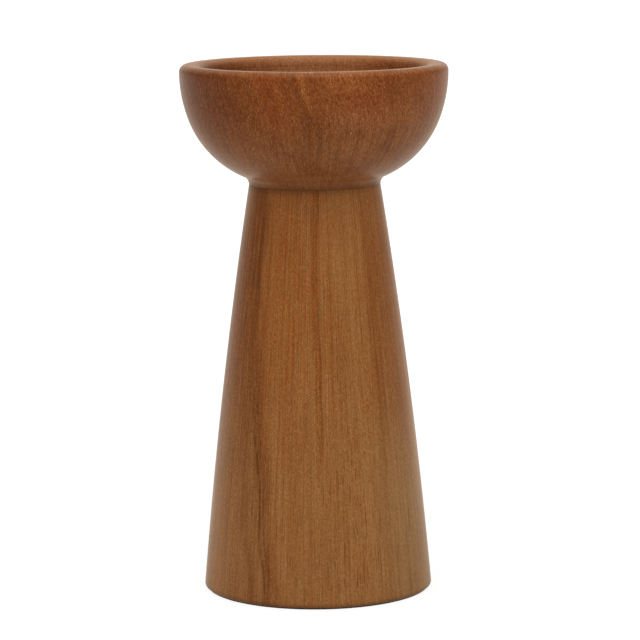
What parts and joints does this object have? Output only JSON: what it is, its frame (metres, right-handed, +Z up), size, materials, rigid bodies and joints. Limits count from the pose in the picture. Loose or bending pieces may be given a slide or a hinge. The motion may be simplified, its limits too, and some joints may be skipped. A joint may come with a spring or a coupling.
{
  "type": "candle holder",
  "caption": "Turned wooden candle holder: a thick-walled bowl with a flat candle seat, dowelled onto a tapered pedestal with a soft pad underneath.",
  "frame": {"origin": "middle of the underside of the pad, on the turning axis, where the holder rests", "axes": "+Z up along the turning axis, from the pad to the bowl's rim; X and Y are alike on this round part, and -Y is the side that faces the viewer in the picture"},
  "size_m": [0.112, 0.112, 0.2213],
  "materials": {
    "bowl_wood": "red-brown turned hardwood under a satin clear coat",
    "pedestal_wood": "brown turned hardwood with upright grain under a satin clear coat",
    "dowel_wood": "bare fluted beech",
    "pad_felt": "dark pressed felt"
  },
  "bodies": {
    "root": {"bowl": "bowl_wood", "pedestal": "pedestal_wood", "neck_dowel": "dowel_wood", "base_pad": "pad_felt"}
  },
  "joints": []
}
